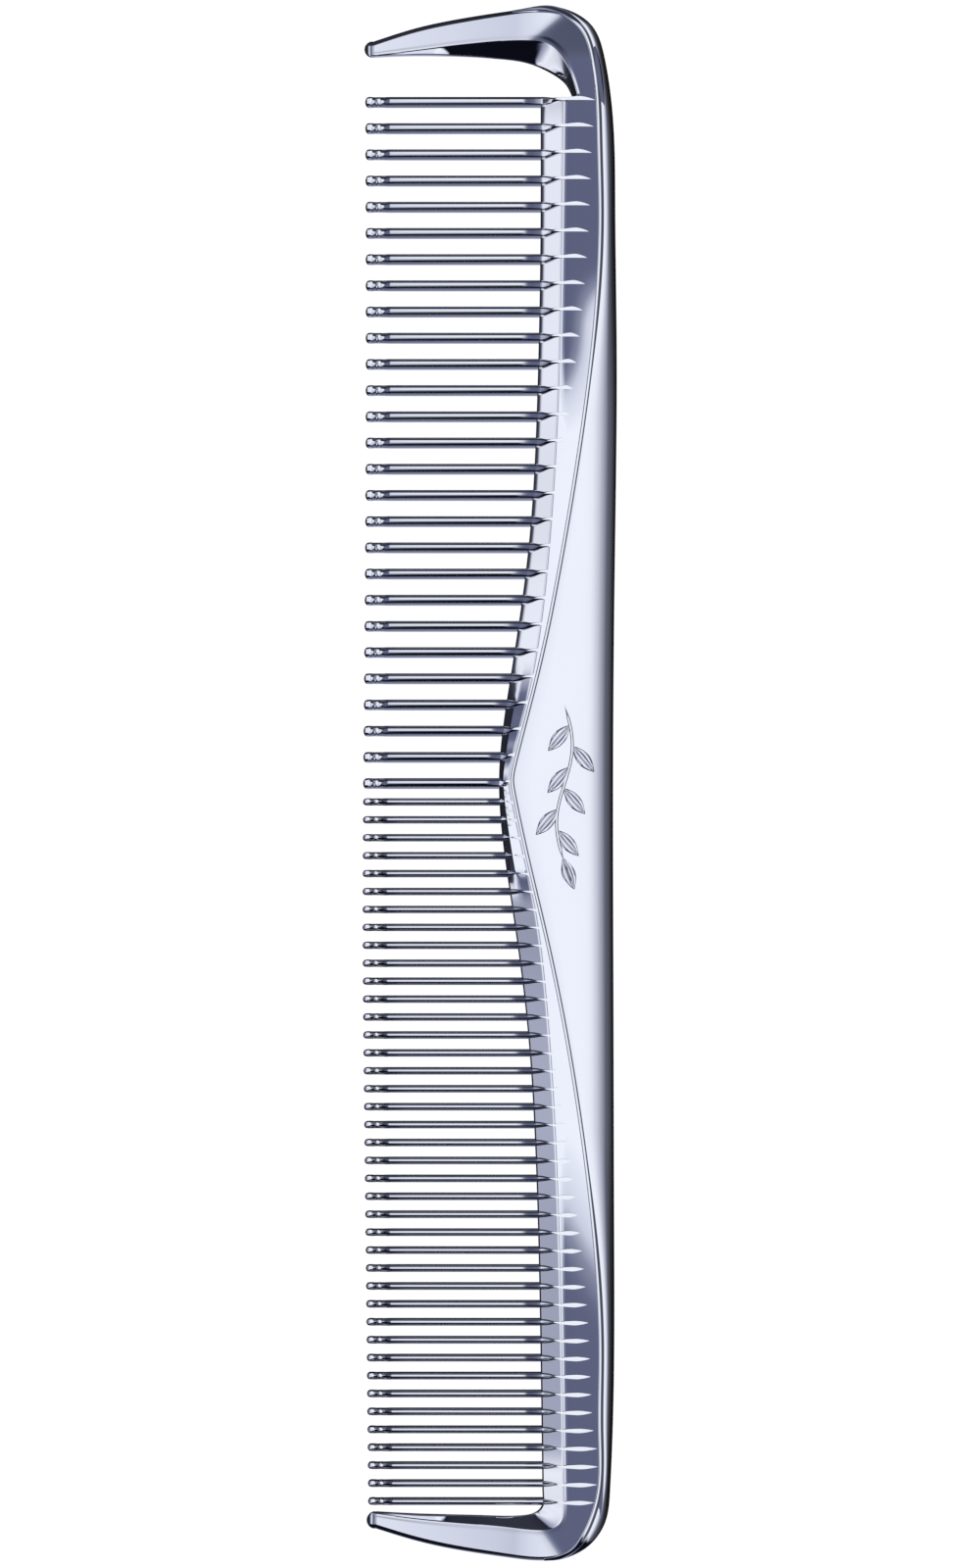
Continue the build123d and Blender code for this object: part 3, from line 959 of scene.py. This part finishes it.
# %% Leaves and stem
SPRIG_ANGLE = 40
LEAF = [  # share of the half width, and mm above the panel
    (-1.0, -0.06), (-0.92, 0.09), (-0.84, 0.16), (-0.6, 0.19), (-0.28, 0.16), (-0.12, 0.09),
    (0.0, 0.04), (0.12, 0.09), (0.28, 0.16), (0.6, 0.19), (0.84, 0.16), (0.92, 0.09),
    (1.0, -0.06), (-1.0, -0.06),
]
STEM = [
    (-1.0, -0.06), (-0.8, 0.09), (-0.4, 0.18), (0.4, 0.18), (0.8, 0.09), (1.0, -0.06),
    (-1.0, -0.06),
]
STEM_LENGTH, STEM_X, STEM_Y, STEM_WAVE, STEM_HALF = 18.0, 0.0, 8.5, 0.9, 0.2
PAIRED_LEAVES, LEAF_LENGTH, LEAF_HALF, LEAF_HEADING = 6, 3.9, 0.8, 40
LEAF_BLUNT, LEAF_LEAST = 0.9, 0.01  # fullness towards the points, and half width at them
LEAF_AT, LEAF_EVERY = 1.5, 1.6  # steps of the stem
TOP_LEAF_HEADING, TOP_LEAF_BACK = 20, 0.4
WHOLE_RELIEF_FROM = 0.18  # a ribbon narrower than this each way is lower too
STEM_STEPS, LEAF_STEPS = 2 * PAIRED_LEAVES, 20
PER_STEP = 6


def panel_height(x, y):
    """Height of the panel's top, which is flat and then rolls over to the back edge."""
    way = (y - (outer_rail(x)[1] - ROLL_WIDEST)) / ROLL_WIDEST
    return (PANEL_TOP - DROP) * (roll_height(way) if way > 0 else 1.0)


def ribbon(name, path, half_widths, profile):
    """A low raised ribbon along a path on the front panel."""
    sections = []
    for i, ((x, y), wide) in enumerate(zip(path, half_widths)):
        before, after = path[max(i - 1, 0)], path[min(i + 1, len(path) - 1)]
        run = Vector((after[0] - before[0], after[1] - before[1])).normalized()
        low = min(1.0, wide / WHOLE_RELIEF_FROM)
        section = []
        for s, z in profile:
            a, b = x - run.y * s * wide, y + run.x * s * wide
            section.append((a, b, panel_height(a, b) + (z * low if z > 0 else z)))
        sections.append(section)
    return lay_on_sections(name, sections, CHROME, "front_ornament", SPRIG_ANGLE)


def on_stem(step):
    x = STEM_X - STEM_LENGTH / 2 + STEM_LENGTH * step / STEM_STEPS
    return x, STEM_Y + STEM_WAVE * sin(step * pi / PAIRED_LEAVES)


def leaf(name, step, heading):
    """A leaf that leaves the stem at a step of it."""
    x, y = on_stem(step)
    turn = radians(heading)
    path, widths = [], []
    for i in range(LEAF_STEPS + 1):
        t = i / LEAF_STEPS
        path.append((x + cos(turn) * LEAF_LENGTH * t, y + sin(turn) * LEAF_LENGTH * t))
        widths.append(max(LEAF_LEAST, LEAF_HALF * sin(pi * t) ** LEAF_BLUNT))
    return ribbon(name, path, widths, LEAF)


# %% The sprig
stem_path = [on_stem(i / PER_STEP) for i in range(PER_STEP * STEM_STEPS + 1)]
to_end = [min(i, len(stem_path) - 1 - i) for i in range(len(stem_path))]
taper = [max(0.03, STEM_HALF * min(1.0, steps / PER_STEP)) for steps in to_end]
ribbon("sprig_stem", stem_path, taper, STEM)
for i in range(PAIRED_LEAVES):
    heading = LEAF_HEADING if i % 2 else -LEAF_HEADING
    leaf(f"sprig_leaf_{i + 1}", LEAF_EVERY * i + LEAF_AT, heading)
leaf(f"sprig_leaf_{PAIRED_LEAVES + 1}", STEM_STEPS - TOP_LEAF_BACK, TOP_LEAF_HEADING)
print("sprig:", PAIRED_LEAVES + 2, "pieces")

# %% [markdown]
# ## Finish
# Nothing is left selected, and no object stays in edit mode.

# %% Finish
clean_slate()
